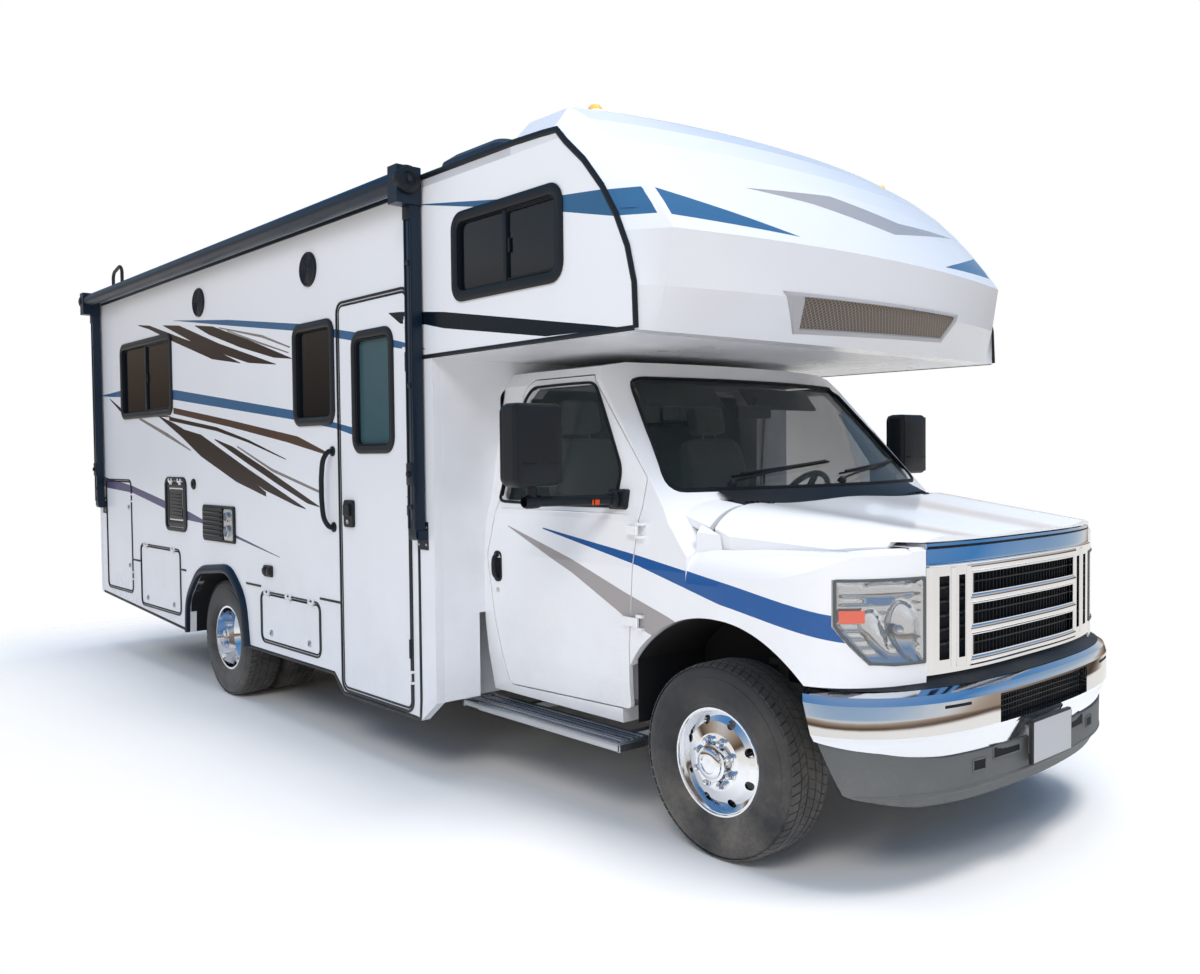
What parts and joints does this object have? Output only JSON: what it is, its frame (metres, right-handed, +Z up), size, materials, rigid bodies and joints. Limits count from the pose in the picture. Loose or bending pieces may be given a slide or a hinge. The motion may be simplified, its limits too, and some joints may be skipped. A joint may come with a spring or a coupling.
{
  "type": "class C motorhome",
  "caption": "Class C motorhome: a hollow coach body with sleeping luton over a cutaway van cab, twin rear wheels, side awning, lockers and a side entry door.",
  "frame": {"origin": "on the ground under the middle of the vehicle", "axes": "+Y towards the rear of the vehicle, +X towards the driver (left) side, +Z up"},
  "size_m": [2.92, 7.39, 3.38],
  "materials": {
    "paint_white": "white gloss paint",
    "gelcoat_white": "white gloss fibreglass",
    "black_plastic": "black textured plastic",
    "black_steel": "black chassis paint",
    "awning_black": "blue-black gloss paint",
    "chrome": "chrome plate",
    "bright_steel": "bright steel",
    "cast_iron": "dark cast iron",
    "rubber_tyre": "black tyre rubber",
    "glass_tint": "dark tinted glass",
    "glass_clear": "green-tinted glass",
    "lamp_clear": "clear lamp lens",
    "grey_plastic": "grey textured plastic",
    "seat_fabric": "grey woven cloth",
    "plate_white": "blank white plate",
    "interior_board": "floor and locker board"
  },
  "bodies": {
    "vehicle": {"air_dam": "grey_plastic", "awning_feet": "awning_black", "bulkhead": "gelcoat_white", "cab_shell": "paint_white", "coach_floor": "interior_board", "coach_roof": "gelcoat_white", "coach_wall_left": "gelcoat_white", "coach_wall_rear": "gelcoat_white", "coach_wall_right": "gelcoat_white", "cowl": "black_plastic", "dashboard": "black_plastic", "engine": "cast_iron", "exhaust": "bright_steel", "fixed_glass": "glass_tint", "frame_rails": "black_steel", "front_axle": "cast_iron", "front_bumper": "chrome", "front_wings": "paint_white", "grille": "chrome", "ladder": "black_steel", "lamps": "lamp_clear", "lockers": "interior_board", "luton_nose": "gelcoat_white", "number_plates": "plate_white", "rear_axle": "cast_iron", "rear_bumper": "black_steel", "roof_units": "black_plastic", "running_boards": "bright_steel", "seats": "seat_fabric", "springs": "cast_iron", "tanks": "black_plastic", "window_frames": "black_plastic"},
    "wheel_fl": {"tyre_front_left": "rubber_tyre", "wheel_front_left": "chrome"},
    "wheel_fr": {"tyre_front_right": "rubber_tyre", "wheel_front_right": "chrome"},
    "wheels_rl": {"tyres_rear_left": "rubber_tyre", "wheels_rear_left": "chrome"},
    "wheels_rr": {"tyres_rear_right": "rubber_tyre", "wheels_rear_right": "chrome"},
    "steering_knuckle_left": {"knuckle_left": "cast_iron"},
    "steering_knuckle_right": {"knuckle_right": "cast_iron"},
    "driver_door": {"cab_door_left": "paint_white", "cab_glass_left": "glass_clear", "mirror_left": "black_plastic"},
    "passenger_door": {"cab_door_right": "paint_white", "cab_glass_right": "glass_clear", "mirror_right": "black_plastic"},
    "hood": {"bonnet": "paint_white"},
    "coach_door": {"entry_door": "gelcoat_white", "entry_glass": "glass_tint"},
    "service_door": {"service_lid": "gelcoat_white"},
    "awning_frame": {"awning": "awning_black"},
    "locker_door_left_middle": {"hatch_left_middle": "gelcoat_white"},
    "locker_door_left_rear": {"hatch_left_rear": "gelcoat_white"},
    "locker_door_right_closet": {"hatch_right_closet": "gelcoat_white"},
    "locker_door_right_middle": {"hatch_right_middle": "gelcoat_white"},
    "locker_door_right_rear": {"hatch_right_rear": "gelcoat_white"}
  },
  "joints": [
    {"name": "steer_left", "type": "hinge", "parent": "vehicle", "child": "steering_knuckle_left", "pos_m": [0.745, -2.865, 0.372], "axis": [0, 0, 1], "range_deg": [-30, 30]},
    {"name": "steer_right", "type": "hinge", "parent": "vehicle", "child": "steering_knuckle_right", "pos_m": [-0.745, -2.865, 0.372], "axis": [0, 0, 1], "range_deg": [-30, 30]},
    {"name": "spin_front_left", "type": "hinge", "parent": "steering_knuckle_left", "child": "wheel_fl", "pos_m": [0.881, -2.865, 0.372], "axis": [1, 0, 0], "continuous": true},
    {"name": "spin_front_right", "type": "hinge", "parent": "steering_knuckle_right", "child": "wheel_fr", "pos_m": [-0.881, -2.865, 0.372], "axis": [1, 0, 0], "continuous": true},
    {"name": "spin_rear_left", "type": "hinge", "parent": "vehicle", "child": "wheels_rl", "pos_m": [0.996, 1.148, 0.372], "axis": [1, 0, 0], "continuous": true},
    {"name": "spin_rear_right", "type": "hinge", "parent": "vehicle", "child": "wheels_rr", "pos_m": [-0.996, 1.148, 0.372], "axis": [1, 0, 0], "continuous": true},
    {"name": "open_driver_door", "type": "hinge", "parent": "vehicle", "child": "driver_door", "pos_m": [1.016, -2.478, 1], "axis": [0, 0, -1], "range_deg": [0, 65]},
    {"name": "open_passenger_door", "type": "hinge", "parent": "vehicle", "child": "passenger_door", "pos_m": [-1.016, -2.478, 1], "axis": [0, 0, 1], "range_deg": [0, 65]},
    {"name": "lift_hood", "type": "hinge", "parent": "vehicle", "child": "hood", "pos_m": [0, -2.806, 1.31], "axis": [-1, 0, 0], "range_deg": [0, 55]},
    {"name": "open_coach_door", "type": "hinge", "parent": "vehicle", "child": "coach_door", "pos_m": [-1.292, -1.202, 1.3], "axis": [0, 0, 1], "range_deg": [0, 90]},
    {"name": "open_service_door", "type": "hinge", "parent": "vehicle", "child": "service_door", "pos_m": [-1.292, 1.859, 1.373], "axis": [0, 1, 0], "range_deg": [0, 90]},
    {"name": "swing_awning_frame", "type": "hinge", "parent": "vehicle", "child": "awning_frame", "pos_m": [-1.32, 1.0625, 1.17], "axis": [0, -1, 0], "range_deg": [0, 45]},
    {"name": "open_locker_right_closet", "type": "hinge", "parent": "vehicle", "child": "locker_door_right_closet", "pos_m": [-1.292, 2.808, 0.94], "axis": [0, 0, 1], "range_deg": [0, 90]},
    {"name": "open_locker_right_rear", "type": "hinge", "parent": "vehicle", "child": "locker_door_right_rear", "pos_m": [-1.292, 2.2, 0.892], "axis": [0, 1, 0], "range_deg": [0, 90]},
    {"name": "open_locker_right_middle", "type": "hinge", "parent": "vehicle", "child": "locker_door_right_middle", "pos_m": [-1.292, 0.11, 0.732], "axis": [0, 1, 0], "range_deg": [0, 90]},
    {"name": "open_locker_left_rear", "type": "hinge", "parent": "vehicle", "child": "locker_door_left_rear", "pos_m": [1.292, 2.2, 0.892], "axis": [0, -1, 0], "range_deg": [0, 90]},
    {"name": "open_locker_left_middle", "type": "hinge", "parent": "vehicle", "child": "locker_door_left_middle", "pos_m": [1.292, 0.11, 0.732], "axis": [0, -1, 0], "range_deg": [0, 90]}
  ],
  "couplings": [
    {"joint": "steer_right", "follows": "steer_left", "ratio": 1}
  ]
}
